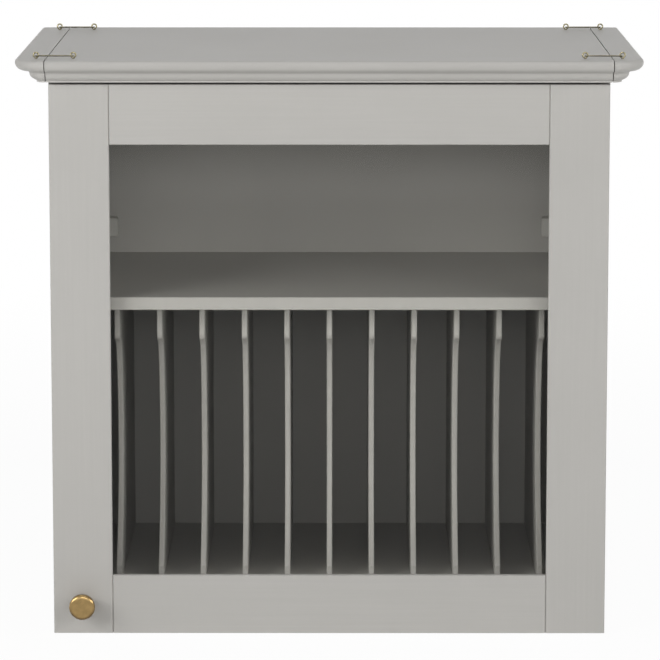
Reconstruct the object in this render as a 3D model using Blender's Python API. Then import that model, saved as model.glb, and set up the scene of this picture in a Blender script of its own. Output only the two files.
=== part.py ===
"""Kitchen wall cabinet with a glazed framed door, a plate rack and a cornice.

Blender script: one named object for each separate piece. Units are metres, +Z is up,
the front faces -Y, and the wall plane is Y = 0. The origin is the centre of the face
of the upper rear rail that meets the wall.
"""

import math

import bmesh
import bpy
from mathutils import Matrix, Vector

MM = 0.001

# Clearances and eased edges
FIT = 0.3 * MM
DOOR_GAP = 3.0 * MM
DOOR_REVEAL = 1.5 * MM
DOOR_TOP_GAP = 3.0 * MM
CORNICE_JOINT_GAP = 1.0 * MM
PANEL_EASE = 0.8 * MM
BLOCK_EASE = 1.5 * MM
CUT_PAST = 5.0 * MM

# Carcass
CARCASS_W = 600.0 * MM
CARCASS_H = 600.0 * MM
CARCASS_D = 370.0 * MM
PANEL_T = 18.0 * MM
BACK_T = 8.0 * MM
BACK_INSET = 12.0 * MM
HOUSING_D = 6.0 * MM
REAR_RAIL_H = 80.0 * MM
REAR_RAIL_LOW_H = 60.0 * MM
CORNER_BLOCK_W = 36.0 * MM
CORNER_BLOCK_D = 18.0 * MM
CORNER_BLOCK_H = 22.0 * MM
CORNER_BLOCK_LIFT = 20.0 * MM

# Shelf and plate rack
SHELF_T = 14.0 * MM
SHELF_TOP_H = 365.0 * MM
SHELF_SETBACK = 1.0 * MM
RACK_BASE_T = 25.0 * MM
DIVIDER_COUNT = 11
DIVIDER_T = 6.0 * MM
DIVIDER_PITCH = 46.3 * MM
DIVIDER_SETBACK = 50.0 * MM
DIVIDER_BACK_GAP = 6.0 * MM
DIVIDER_GROOVE_D = 5.0 * MM
DIVIDER_TOP_LAND = 42.0 * MM
DIVIDER_LOW_LAND = 15.0 * MM
DIVIDER_NOSE_R = 8.0 * MM
DIVIDER_CURVE_D = 58.0 * MM
DIVIDER_CURVE_PEAK = 0.48
DIVIDER_EASE = 0.7 * MM

# Door frame and glazing
DOOR_T = 20.0 * MM
FRAME_W = 64.0 * MM
FRAME_EDGE_R = 1.5 * MM
JOINT_CHAMFER = 0.8 * MM
LIP_T = 7.0 * MM
REBATE_W = 10.0 * MM
TENON_L = 20.0 * MM
TENON_T = 8.0 * MM
TENON_MARGIN = 8.0 * MM
GLASS_T = 4.0 * MM
GLASS_EDGE_GAP = 1.0 * MM
BEAD_W = 5.5 * MM
BEAD_EASE = 1.2 * MM

# Knob and its screw
KNOB_FROM_BOTTOM = 34.0 * MM
KNOB_PROJECTION = 27.0 * MM
KNOB_HEAD_R = 14.0 * MM
KNOB_HEAD_T = 6.0 * MM
KNOB_HEAD_EDGE_R = 2.4 * MM
KNOB_FACE_RISE = 0.6 * MM
KNOB_BASE_R = 9.0 * MM
KNOB_BASE_T = 1.6 * MM
KNOB_NECK_R = 5.4 * MM
KNOB_FOOT_SHARE = 0.4
KNOB_FLARE_SHARE = 0.5
KNOB_RIM_SHARE = 0.3
SCREW_R = 2.0 * MM
SCREW_HEAD_R = 4.0 * MM
SCREW_HEAD_T = 2.4 * MM
SCREW_ENGAGE = 11.0 * MM

# Hinges: brass and cranked, with the knuckle let into the back of the hinge stile
HINGE_H = 50.0 * MM
HINGE_FROM_END = 95.0 * MM
HINGE_BARREL_R = 3.2 * MM
HINGE_EDGE_COVER = 1.3 * MM
HINGE_PIN_R = 1.5 * MM
HINGE_RUN = 0.1 * MM
HINGE_STRAP_CLEAR = 0.4 * MM
HINGE_LEAF_T = 2.0 * MM
HINGE_CABINET_LEAF_L = 37.0 * MM
HINGE_DOOR_LEAF_L = 28.0 * MM
HINGE_MIDDLE_H = 19.4 * MM
HINGE_NOTCH_CLEAR = 2.3 * MM
HINGE_WEB_W = 5.2 * MM

# Catch and bumpers
CATCH_W = 15.0 * MM
CATCH_D = 38.0 * MM
CATCH_H = 42.0 * MM
CATCH_LIFT = 44.0 * MM
CATCH_EASE = 1.0 * MM
STRIKE_T = 1.2 * MM
STRIKE_MARGIN = 2.0 * MM
BUMPER_R = 4.0 * MM
BUMPER_FACE_R = 3.2 * MM
BUMPER_FROM_END = 40.0 * MM

# Cornice moulding: fillet, ovolo, cove and rounded nose, from the underside up
CORNICE_FILLET = 11.0 * MM
CORNICE_FILLET_H = 1.6 * MM
CORNICE_OVOLO_W = 7.6 * MM
CORNICE_OVOLO_H = 6.8 * MM
CORNICE_OVOLO_DEG = 60.0
CORNICE_COVE_W = 6.9 * MM
CORNICE_COVE_H = 4.0 * MM
CORNICE_NOSE = 34.0 * MM
CORNICE_NOSE_LOW_H = 8.1 * MM
CORNICE_NOSE_TOP_R = 4.1 * MM
CORNICE_CORNER_BACK = 8.0 * MM
CORNICE_CORNER_STEPS = 10

# Cornice connectors: two screw eyes and a bent tie rod at each end of each joint
EYE_R = 2.65 * MM
EYE_WIRE_R = 0.85 * MM
EYE_SHANK_L = 11.0 * MM
EYE_OUTER_FROM_JOINT = 10.5 * MM
EYE_INNER_FROM_JOINT = 29.0 * MM
ROD_R = 0.8 * MM
ROD_TAIL_R = 0.7 * MM
ROD_TAIL_L = 1.5 * MM
CONNECTOR_FROM_NOSE = 32.0 * MM
CONNECTOR_FROM_BACK = 32.0 * MM

# Sizes that follow from the ones above
HALF_W = CARCASS_W / 2.0
INNER_X = HALF_W - PANEL_T
CARCASS_FRONT = -CARCASS_D
BACK_FACE = -BACK_INSET - BACK_T
ROW_Z = CARCASS_H - PANEL_T - FIT - REAR_RAIL_H / 2.0
SHELF_LOW_H = SHELF_TOP_H - SHELF_T
RACK_FLOOR_H = PANEL_T + FIT + RACK_BASE_T
DIVIDER_FRONT = CARCASS_FRONT + SHELF_SETBACK + DIVIDER_SETBACK
DOOR_H = CARCASS_H - DOOR_TOP_GAP
DOOR_HALF = HALF_W - DOOR_REVEAL
DOOR_BACK = CARCASS_FRONT - DOOR_GAP
DOOR_FRONT = DOOR_BACK - DOOR_T
OPENING_HALF = DOOR_HALF - FRAME_W
TENON_H = FRAME_W - REBATE_W - 2.0 * TENON_MARGIN
KNOB_X = -DOOR_HALF + FRAME_W / 2.0
HINGE_STRAP_T = DOOR_GAP - 2.0 * HINGE_STRAP_CLEAR
HINGE_X = DOOR_HALF - HINGE_BARREL_R - HINGE_EDGE_COVER
HINGE_Y = DOOR_BACK - HINGE_BARREL_R - FIT
CORNICE_UNDER_H = CORNICE_FILLET_H + CORNICE_OVOLO_H + CORNICE_COVE_H
CORNICE_T = CORNICE_UNDER_H + CORNICE_NOSE_LOW_H + CORNICE_NOSE_TOP_R
CORNICE_LOW_H = CARCASS_H + FIT
CORNICE_TOP_H = CORNICE_LOW_H + CORNICE_T
CORNICE_JOINT_X = HALF_W + FIT

# Looks: linear colour, metallic, roughness, alpha
PAINT = ((0.45, 0.44, 0.41), 0.0, 0.55, 1.0)
BRASS = ((0.58, 0.40, 0.16), 1.0, 0.30, 1.0)
STEEL = ((0.55, 0.56, 0.57), 1.0, 0.35, 1.0)
GLASS = ((0.80, 0.86, 0.86), 0.0, 0.03, 0.25)
RUBBER = ((0.75, 0.75, 0.73), 0.0, 0.70, 1.0)
PLASTIC = ((0.70, 0.69, 0.66), 0.0, 0.45, 1.0)


def clear_scene():
    """Remove every object that the start-up file holds."""
    for obj in list(bpy.data.objects):
        bpy.data.objects.remove(obj, do_unlink=True)


def add_empty(name, x, y, h):
    """Return an empty that carries one rigid group of pieces."""
    empty = bpy.data.objects.new(name, None)
    empty.location = (x, y, h - ROW_Z)
    bpy.context.scene.collection.objects.link(empty)
    return empty


def object_from(bm, name):
    """Turn a bmesh, whose heights count from the cabinet's base, into an object."""
    bmesh.ops.translate(bm, vec=(0.0, 0.0, -ROW_Z), verts=bm.verts)
    bmesh.ops.recalc_face_normals(bm, faces=bm.faces)
    mesh = bpy.data.meshes.new(name)
    bm.to_mesh(mesh)
    bm.free()
    obj = bpy.data.objects.new(name, mesh)
    bpy.context.scene.collection.objects.link(obj)
    return obj


def add_box(bm, low, high):
    """Add one box to a bmesh."""
    size = Vector(high) - Vector(low)
    middle = (Vector(high) + Vector(low)) / 2.0
    matrix = Matrix.Translation(middle) @ Matrix.Diagonal((size.x, size.y, size.z, 1.0))
    bmesh.ops.create_cube(bm, size=1.0, matrix=matrix)


def box(name, low, high, ease=0.0, segments=1):
    """Return a box with eased edges."""
    bm = bmesh.new()
    add_box(bm, low, high)
    if ease > 0.0:
        bmesh.ops.bevel(bm, geom=bm.edges, offset=ease, segments=segments, profile=0.5, affect="EDGES")
    return object_from(bm, name)


def prism(name, outline, direction, ease=0.0):
    """Extrude a flat closed outline of (x, y, h) points along a direction."""
    bm = bmesh.new()
    face = bm.faces.new([bm.verts.new(point) for point in outline])
    made = bmesh.ops.extrude_face_region(bm, geom=[face])
    ends = [item for item in made["geom"] if isinstance(item, bmesh.types.BMVert)]
    bmesh.ops.translate(bm, vec=direction, verts=ends)
    if ease > 0.0:
        bmesh.ops.bevel(bm, geom=bm.edges, offset=ease, segments=1, profile=0.5, affect="EDGES")
    return object_from(bm, name)


def turned(name, profile, place, segments, closed=False):
    """Turn a profile of (radius, along) points about its axis.

    The place function maps (across, up, along) to (x, y, h).
    """
    bm = bmesh.new()
    rings = []
    for radius, along in profile:
        count = segments if radius > 0.0 else 1
        angles = [2.0 * math.pi * i / segments for i in range(count)]
        points = [place(radius * math.cos(a), radius * math.sin(a), along) for a in angles]
        rings.append([bm.verts.new(point) for point in points])
    pairs = list(zip(rings[:-1], rings[1:]))
    if closed:
        pairs.append((rings[-1], rings[0]))
    for first, second in pairs:
        for i in range(segments):
            j = (i + 1) % segments
            corners = [first[i % len(first)], first[j % len(first)]]
            corners += [second[j % len(second)], second[i % len(second)]]
            bm.faces.new(list(dict.fromkeys(corners)))
    obj = object_from(bm, name)
    obj.data.shade_smooth()
    obj.data.set_sharp_from_angle(angle=math.radians(40.0))
    return obj


def along_x(y0, h0):
    """Return a place function for a turned piece whose axis runs along X."""
    return lambda a, b, t: (t, y0 + a, h0 + b)


def along_y(x0, h0):
    """Return a place function for a turned piece whose axis runs along -Y."""
    return lambda a, b, t: (x0 + a, -t, h0 + b)


def along_z(x0, y0):
    """Return a place function for an upright turned piece."""
    return lambda a, b, t: (x0 + a, y0 + b, t)


def combine(obj, tools, operation):
    """Apply exact Booleans of the tools to an object, then remove the tools."""
    for tool in tools:
        modifier = obj.modifiers.new(operation.lower(), "BOOLEAN")
        modifier.operation = operation
        modifier.solver = "EXACT"
        modifier.object = tool
    bpy.context.view_layer.update()
    graph = bpy.context.evaluated_depsgraph_get()
    solid = bpy.data.meshes.new_from_object(obj.evaluated_get(graph))
    obj.modifiers.clear()
    old = obj.data
    obj.data = solid
    bpy.data.meshes.remove(old)
    solid.name = obj.name
    for tool in tools:
        bpy.data.objects.remove(tool, do_unlink=True)
    return obj


def cutter(boxes):
    """Return one object that holds several boxes that don't meet."""
    bm = bmesh.new()
    for low, high in boxes:
        add_box(bm, low, high)
    return object_from(bm, "cutter")


def bar(name, radius, place, start, end, segments):
    """Return a plain round bar."""
    profile = [(0.0, start), (radius, start), (radius, end), (0.0, end)]
    return turned(name, profile, place, segments)


def finish(obj, carrier, look):
    """Give one piece its material, its own origin and the empty that carries it."""
    colour, metallic, roughness, alpha = look
    material = bpy.data.materials.new(obj.name)
    material.use_nodes = True
    shader = material.node_tree.nodes["Principled BSDF"]
    shader.inputs["Base Color"].default_value = (*colour, 1.0)
    shader.inputs["Metallic"].default_value = metallic
    shader.inputs["Roughness"].default_value = roughness
    shader.inputs["Alpha"].default_value = alpha
    obj.data.materials.clear()
    obj.data.materials.append(material)
    corners = [Vector(corner) for corner in obj.bound_box]
    middle = sum(corners, Vector()) / len(corners)
    obj.data.transform(Matrix.Translation(-middle))
    obj.parent = carrier
    obj.location = middle - carrier.location
    return obj


def mirrored(low, high, sign):
    """Return a box's corners on the side that the sign names."""
    if sign > 0:
        return low, high
    return (-high[0], low[1], low[2]), (-low[0], high[1], high[2])


def side_name(sign):
    """Return the word for a side as the viewer sees it."""
    return "right" if sign > 0 else "left"


def build_side_panel(sign, cabinet):
    """Side panel with housings for the bottom, the shelf, the top and the back."""
    low, high = mirrored((INNER_X, CARCASS_FRONT, 0.0), (HALF_W, 0.0, CARCASS_H), sign)
    panel = box("side_panel_" + side_name(sign), low, high, PANEL_EASE)
    x0 = INNER_X - CUT_PAST
    x1 = INNER_X + HOUSING_D
    y0 = CARCASS_FRONT - CUT_PAST
    back = BACK_FACE - FIT
    housings = (
        (x0, y0, -CUT_PAST), (x1, CUT_PAST, PANEL_T + FIT / 2.0),
        (x0, y0, SHELF_LOW_H - FIT / 2.0), (x1, back, SHELF_TOP_H + FIT / 2.0),
        (x0, y0, CARCASS_H - PANEL_T - FIT / 2.0), (x1, CUT_PAST, CARCASS_H + CUT_PAST),
        (x0, back, PANEL_T - HOUSING_D - FIT),
        (x1, -BACK_INSET + FIT, CARCASS_H - PANEL_T + HOUSING_D + FIT),
    )
    cuts = [cutter([mirrored(a, b, sign)]) for a, b in zip(housings[0::2], housings[1::2])]
    finish(combine(panel, cuts, "DIFFERENCE"), cabinet, PAINT)


def build_flat_panel(name, low_h, groove_h, cabinet):
    """Top or bottom panel, housed in the sides, with a groove for the back panel."""
    half = INNER_X + HOUSING_D - FIT
    panel = box(name, (-half, CARCASS_FRONT, low_h), (half, 0.0, low_h + PANEL_T), PANEL_EASE)
    low = (-half - CUT_PAST, BACK_FACE - FIT, groove_h[0])
    groove = cutter([(low, (half + CUT_PAST, -BACK_INSET + FIT, groove_h[1]))])
    finish(combine(panel, [groove], "DIFFERENCE"), cabinet, PAINT)


def build_carcass(cabinet):
    """Panels, the rails behind the back panel, and the back panel's corner blocks."""
    for sign in (-1, 1):
        build_side_panel(sign, cabinet)
    top_low = CARCASS_H - PANEL_T
    build_flat_panel("bottom_panel", 0.0, (PANEL_T - HOUSING_D, PANEL_T + CUT_PAST), cabinet)
    build_flat_panel("top_panel", top_low, (top_low - CUT_PAST, top_low + HOUSING_D), cabinet)
    reach = HOUSING_D - FIT
    low = (-INNER_X - reach, BACK_FACE, PANEL_T - reach)
    finish(box("back_panel", low, (INNER_X + reach, -BACK_INSET, top_low + reach)), cabinet, PAINT)
    half = INNER_X - FIT
    front = -BACK_INSET + FIT
    high_h = top_low - FIT
    rail = box("rear_rail_top", (-half, front, high_h - REAR_RAIL_H), (half, 0.0, high_h), PANEL_EASE)
    finish(rail, cabinet, PAINT)
    low_h = PANEL_T + FIT
    high = (half, 0.0, low_h + REAR_RAIL_LOW_H)
    finish(box("rear_rail_bottom", (-half, front, low_h), high, PANEL_EASE), cabinet, PAINT)
    seat = BACK_FACE - FIT
    low_h = SHELF_TOP_H + CORNER_BLOCK_LIFT
    for sign in (-1, 1):
        low = (half - CORNER_BLOCK_W, seat - CORNER_BLOCK_D, low_h)
        low, high = mirrored(low, (half, seat, low_h + CORNER_BLOCK_H), sign)
        block = box("corner_block_" + side_name(sign), low, high, BLOCK_EASE, 2)
        finish(block, cabinet, PAINT)


def divider_places():
    """Return the X of each plate divider."""
    middle = (DIVIDER_COUNT - 1) / 2.0
    return [(i - middle) * DIVIDER_PITCH for i in range(DIVIDER_COUNT)]


def divider_grooves(low_h, high_h):
    """Return a cutter with one groove for each divider."""
    half = (DIVIDER_T + FIT) / 2.0
    y0 = DIVIDER_FRONT - FIT
    y1 = BACK_FACE + CUT_PAST
    return cutter([((x - half, y0, low_h), (x + half, y1, high_h)) for x in divider_places()])


def divider_outline(x):
    """Return a divider's side outline: a rounded nose, a quarter ellipse, then a parabola."""
    back = BACK_FACE - DIVIDER_BACK_GAP
    top = SHELF_LOW_H + DIVIDER_GROOVE_D - FIT
    low = RACK_FLOOR_H - DIVIDER_GROOVE_D + FIT
    curve_top = SHELF_LOW_H - DIVIDER_TOP_LAND
    span = curve_top - RACK_FLOOR_H - DIVIDER_LOW_LAND
    peak = DIVIDER_CURVE_PEAK
    nose = DIVIDER_NOSE_R
    points = [(x, back, low), (x, back, top), (x, DIVIDER_FRONT, top)]
    rounded = arc(DIVIDER_FRONT + nose, curve_top + nose, nose, nose, 180.0, 270.0, 5)
    points += [(x, y, h) for y, h in rounded]
    steps = 9
    for i in range(1, steps + 1):
        angle = 0.5 * math.pi * i / steps
        depth = nose + (DIVIDER_CURVE_D - nose) * math.sin(angle)
        points.append((x, DIVIDER_FRONT + depth, curve_top - span * peak * (1.0 - math.cos(angle))))
    for i in range(1, steps + 1):
        part = i / steps
        depth = DIVIDER_CURVE_D * (1.0 - part * part)
        points.append((x, DIVIDER_FRONT + depth, curve_top - span * (peak + (1.0 - peak) * part)))
    points.append((x, DIVIDER_FRONT, low))
    return points


def build_rack(cabinet):
    """Shelf, rack base and the plate dividers that stand in their grooves."""
    front = CARCASS_FRONT + SHELF_SETBACK
    back = BACK_FACE - FIT
    half = INNER_X + HOUSING_D - FIT
    shelf = box("shelf", (-half, front, SHELF_LOW_H), (half, back, SHELF_TOP_H), PANEL_EASE)
    grooves = divider_grooves(SHELF_LOW_H - CUT_PAST, SHELF_LOW_H + DIVIDER_GROOVE_D)
    finish(combine(shelf, [grooves], "DIFFERENCE"), cabinet, PAINT)
    half = INNER_X - FIT
    base = box("rack_base", (-half, front, PANEL_T + FIT), (half, back, RACK_FLOOR_H), PANEL_EASE)
    grooves = divider_grooves(RACK_FLOOR_H - DIVIDER_GROOVE_D, RACK_FLOOR_H + CUT_PAST)
    finish(combine(base, [grooves], "DIFFERENCE"), cabinet, PAINT)
    for i, x in enumerate(divider_places()):
        outline = divider_outline(x - DIVIDER_T / 2.0)
        divider = prism("plate_divider_%02d" % (i + 1), outline, (DIVIDER_T, 0.0, 0.0), DIVIDER_EASE)
        finish(divider, cabinet, PAINT)


def arc(centre_u, centre_v, radius_u, radius_v, start_deg, end_deg, steps):
    """Return points on an elliptical arc, both ends included."""
    points = []
    for i in range(steps + 1):
        angle = math.radians(start_deg + (end_deg - start_deg) * i / steps)
        points.append((centre_u + radius_u * math.cos(angle), centre_v + radius_v * math.sin(angle)))
    return points


def cornice_profile():
    """Return the moulding as (overhang, height above the underside), from below."""
    turn = math.radians(CORNICE_OVOLO_DEG)
    belly_w = CORNICE_OVOLO_W / (1.0 - math.cos(turn))
    belly_h = CORNICE_OVOLO_H / math.sin(turn)
    cove_start = CORNICE_FILLET + CORNICE_OVOLO_W
    cove_end = cove_start + CORNICE_COVE_W
    cove_low = CORNICE_FILLET_H + CORNICE_OVOLO_H
    points = [(CORNICE_FILLET, 0.0)]
    points += arc(cove_start - belly_w, cove_low, belly_w, belly_h, -CORNICE_OVOLO_DEG, 0.0, 5)
    points += arc(cove_end, cove_low, CORNICE_COVE_W, CORNICE_COVE_H, 180.0, 90.0, 5)[1:]
    nose_h = CORNICE_UNDER_H + CORNICE_NOSE_LOW_H
    nose_w = CORNICE_NOSE - cove_end
    points += arc(cove_end, nose_h, nose_w, CORNICE_NOSE_LOW_H, -90.0, 0.0, 6)[1:]
    radius = CORNICE_NOSE_TOP_R
    points += arc(CORNICE_NOSE - radius, nose_h, radius, radius, 0.0, 90.0, 5)[1:]
    return points


def connector_places():
    """Return the Y of the front and the rear connector on each cornice joint."""
    return DOOR_FRONT - CORNICE_NOSE + CONNECTOR_FROM_NOSE, -CONNECTOR_FROM_BACK


def eye_places(sign):
    """Return the X of the inner and the outer screw eye at one joint."""
    inner = CORNICE_JOINT_X - EYE_INNER_FROM_JOINT
    outer = CORNICE_JOINT_X + EYE_OUTER_FROM_JOINT
    return sign * inner, sign * outer


def eye_hole(x, y):
    """Return the cutter of the hole that a screw eye's shank stands in."""
    low = CORNICE_TOP_H - EYE_SHANK_L - FIT
    return bar("cutter", EYE_WIRE_R + FIT, along_z(x, y), low, CORNICE_TOP_H + CUT_PAST, 10)


def build_cornice(cabinet):
    """Centre board and two end pieces; the moulding returns around the end pieces."""
    half = CORNICE_JOINT_X - CORNICE_JOINT_GAP / 2.0
    outline = [(-half, 0.0, CORNICE_LOW_H)]
    outline += [(-half, DOOR_FRONT - out, CORNICE_LOW_H + h) for out, h in cornice_profile()]
    outline.append((-half, 0.0, CORNICE_TOP_H))
    centre = prism("cornice_centre", outline, (2.0 * half, 0.0, 0.0))
    holes = [eye_hole(eye_places(sign)[0], y) for sign in (-1, 1) for y in connector_places()]
    finish(combine(centre, holes, "DIFFERENCE"), cabinet, PAINT)
    for sign in (-1, 1):
        end = cornice_end(sign)
        holes = [eye_hole(eye_places(sign)[1], y) for y in connector_places()]
        finish(combine(end, holes, "DIFFERENCE"), cabinet, PAINT)


def cornice_end(sign):
    """Return an end piece: the moulding turns a rounded corner and runs back to the wall."""
    bm = bmesh.new()
    start = CORNICE_JOINT_X + CORNICE_JOINT_GAP / 2.0
    middle_y = DOOR_FRONT + CORNICE_CORNER_BACK
    profile = cornice_profile()
    rows = []
    for i in range(CORNICE_CORNER_STEPS + 1):
        angle = 0.5 * math.pi * i / CORNICE_CORNER_STEPS
        row = []
        for out, rise in profile:
            x = start + (HALF_W + out - start) * math.sin(angle)
            y = middle_y - (CORNICE_CORNER_BACK + out) * math.cos(angle)
            row.append(bm.verts.new((sign * x, y, CORNICE_LOW_H + rise)))
        rows.append(row)
    ends = [(sign * (HALF_W + out), 0.0, CORNICE_LOW_H + rise) for out, rise in profile]
    rows.append([bm.verts.new(point) for point in ends])
    low = bm.verts.new((sign * start, 0.0, CORNICE_LOW_H))
    top = bm.verts.new((sign * start, 0.0, CORNICE_TOP_H))
    for first, second in zip(rows[:-1], rows[1:]):
        for i in range(len(profile) - 1):
            bm.faces.new((first[i], first[i + 1], second[i + 1], second[i]))
    bm.faces.new(rows[0] + [top, low])
    bm.faces.new(rows[-1] + [top, low])
    bm.faces.new([row[0] for row in rows] + [low])
    bm.faces.new([row[-1] for row in rows] + [top])
    return object_from(bm, "cornice_end_" + side_name(sign))


def build_connectors(cabinet):
    """Brass screw eyes, and the rods whose bent ends hang in each pair across a joint."""
    axis_h = CORNICE_TOP_H + FIT + EYE_R + EYE_WIRE_R
    rod_h = axis_h - EYE_R + EYE_WIRE_R + FIT + ROD_R
    for sign in (-1, 1):
        xs = eye_places(sign)
        for end, y in zip(("front", "back"), connector_places()):
            suffix = side_name(sign) + "_" + end
            for word, x in zip(("inner", "outer"), xs):
                wire = arc(EYE_R, -y, EYE_WIRE_R, EYE_WIRE_R, 0.0, 300.0, 5)
                eye = turned("screw_eye_%s_%s" % (suffix, word), wire, along_y(x, axis_h), 16, True)
                low = CORNICE_TOP_H - EYE_SHANK_L
                shank = bar("tool", EYE_WIRE_R, along_z(x, y), low, axis_h - EYE_R, 8)
                finish(combine(eye, [shank], "UNION"), cabinet, BRASS)
            rod_y = y - EYE_WIRE_R - FIT - ROD_R
            tail = -y - EYE_WIRE_R - FIT - ROD_TAIL_L
            place = along_x(rod_y, rod_h)
            rod = bar("tie_rod_" + suffix, ROD_R, place, min(xs) - ROD_R, max(xs) + ROD_R, 12)
            tails = [bar("tool", ROD_TAIL_R, along_y(x, rod_h), tail, -rod_y, 12) for x in xs]
            finish(combine(rod, tails, "UNION"), cabinet, BRASS)


def hinge_heights():
    """Return the middle heights of the lower and the upper hinge."""
    return HINGE_FROM_END, DOOR_H - HINGE_FROM_END


def tenon_heights():
    """Return the lower height of the tenon on the bottom and on the top rail."""
    return TENON_MARGIN, DOOR_H - TENON_MARGIN - TENON_H


def build_stile(sign, door):
    """Stile with a rounded outer edge, a chamfered inner edge, a rebate and mortises."""
    inner = OPENING_HALF + FIT / 2.0
    radius = FRAME_EDGE_R
    section = [(inner, DOOR_BACK), (inner, DOOR_FRONT + JOINT_CHAMFER), (inner + JOINT_CHAMFER, DOOR_FRONT)]
    section += arc(DOOR_HALF - radius, DOOR_FRONT + radius, radius, radius, -90.0, 0.0, 4)
    section.append((DOOR_HALF, DOOR_BACK))
    outline = [(sign * x, y, 0.0) for x, y in section]
    stile = prism("door_stile_" + side_name(sign), outline, (0.0, 0.0, DOOR_H))
    rebate_h = FRAME_W - REBATE_W
    low = (inner - CUT_PAST, DOOR_FRONT + LIP_T, rebate_h)
    high = (OPENING_HALF + REBATE_W, DOOR_BACK + CUT_PAST, DOOR_H - rebate_h)
    cuts = [cutter([mirrored(low, high, sign)])]
    y0, y1 = tenon_depths()
    for h in tenon_heights():
        low = (inner - CUT_PAST, y0 - FIT, h - FIT)
        high = (OPENING_HALF + TENON_L + FIT, y1 + FIT, h + TENON_H + FIT)
        cuts.append(cutter([mirrored(low, high, sign)]))
    if sign > 0:
        for h in hinge_heights():
            cuts += hinge_cuts(h)
    else:
        cuts += knob_cuts()
    finish(combine(stile, cuts, "DIFFERENCE"), door, PAINT)


def tenon_depths():
    """Return the front and the back plane of the tenons, in the middle of the frame."""
    middle = DOOR_FRONT + DOOR_T / 2.0
    return middle - TENON_T / 2.0, middle + TENON_T / 2.0


def build_rail(name, low_h, tenon_h, rebate, door):
    """Rail with a tenon at each end, chamfered ends and a rebate between two heights."""
    half = OPENING_HALF - FIT / 2.0
    chamfer = JOINT_CHAMFER
    section = [(-half, DOOR_BACK), (-half, DOOR_FRONT + chamfer), (-half + chamfer, DOOR_FRONT)]
    section += [(-x, y) for x, y in reversed(section)]
    rail = prism(name, [(x, y, low_h) for x, y in section], (0.0, 0.0, FRAME_W))
    reach = OPENING_HALF + TENON_L
    y0, y1 = tenon_depths()
    tongue = cutter([((-reach, y0, tenon_h), (reach, y1, tenon_h + TENON_H))])
    rail = combine(rail, [tongue], "UNION")
    low = (-half - CUT_PAST, DOOR_FRONT + LIP_T, rebate[0])
    groove = cutter([(low, (half + CUT_PAST, DOOR_BACK + CUT_PAST, rebate[1]))])
    finish(combine(rail, [groove], "DIFFERENCE"), door, PAINT)


def build_glazing(door):
    """Glass pane in the rebate, and the four beads that hold it."""
    reach = OPENING_HALF + REBATE_W
    low_h = FRAME_W - REBATE_W
    high_h = DOOR_H - low_h
    edge = GLASS_EDGE_GAP
    front = DOOR_FRONT + LIP_T + FIT
    back = front + GLASS_T
    pane = box("glass_pane", (-reach + edge, front, low_h + edge), (reach - edge, back, high_h - edge))
    finish(pane, door, GLASS)
    y0 = back + FIT
    y1 = DOOR_BACK - FIT
    outer = reach - FIT
    inner = outer - BEAD_W
    for sign in (-1, 1):
        low, high = mirrored((inner, y0, low_h + FIT), (outer, y1, high_h - FIT), sign)
        finish(box("glazing_bead_" + side_name(sign), low, high, BEAD_EASE), door, PAINT)
    half = inner - FIT
    for word, h in (("bottom", low_h + FIT), ("top", high_h - FIT - BEAD_W)):
        bead = box("glazing_bead_" + word, (-half, y0, h), (half, y1, h + BEAD_W), BEAD_EASE)
        finish(bead, door, PAINT)


def knob_cuts():
    """Return the cutters of the knob screw's hole and of the seat of its head."""
    place = along_y(KNOB_X, KNOB_FROM_BOTTOM)
    start = -DOOR_BACK - CUT_PAST
    hole = bar("cutter", SCREW_R + FIT, place, start, -DOOR_FRONT + CUT_PAST, 16)
    seat = bar("cutter", SCREW_HEAD_R + FIT, place, start, -DOOR_BACK + SCREW_HEAD_T + FIT, 20)
    return [hole, seat]


def knob_profile(base):
    """Return the knob's turned profile: foot, waisted neck, and a shallow domed head."""
    head = base + KNOB_PROJECTION - FIT - KNOB_HEAD_T - KNOB_FACE_RISE
    foot = base + KNOB_BASE_T
    points = [(0.0, base), (KNOB_BASE_R, base)]
    run = head - foot
    waist = run * KNOB_FOOT_SHARE
    points += arc(KNOB_BASE_R, foot + waist, KNOB_BASE_R - KNOB_NECK_R, waist, 270.0, 180.0, 5)
    flare = run * KNOB_FLARE_SHARE
    points += arc(KNOB_NECK_R, head, KNOB_HEAD_R - KNOB_NECK_R, flare, -75.0, -15.0, 4)
    edge = KNOB_HEAD_EDGE_R
    points.append((KNOB_HEAD_R, head + KNOB_HEAD_T * KNOB_RIM_SHARE))
    points += arc(KNOB_HEAD_R - edge, head + KNOB_HEAD_T - edge, edge, edge, 0.0, 80.0, 4)
    points.append((0.0, head + KNOB_HEAD_T + KNOB_FACE_RISE))
    return points


def build_knob(door):
    """Turned brass knob and the screw that holds it from behind the stile."""
    place = along_y(KNOB_X, KNOB_FROM_BOTTOM)
    base = -DOOR_FRONT + FIT
    knob = turned("knob", knob_profile(base), place, 36)
    hole = bar("cutter", SCREW_R + FIT, place, base - CUT_PAST, base + SCREW_ENGAGE + FIT, 16)
    finish(combine(knob, [hole], "DIFFERENCE"), door, BRASS)
    start = -DOOR_BACK
    tip = base + SCREW_ENGAGE
    profile = [(0.0, start), (SCREW_HEAD_R, start), (SCREW_HEAD_R, start + SCREW_HEAD_T)]
    profile += [(SCREW_R, start + SCREW_HEAD_T), (SCREW_R, tip), (0.0, tip)]
    finish(turned("knob_screw", profile, place, 16), door, STEEL)


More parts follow.
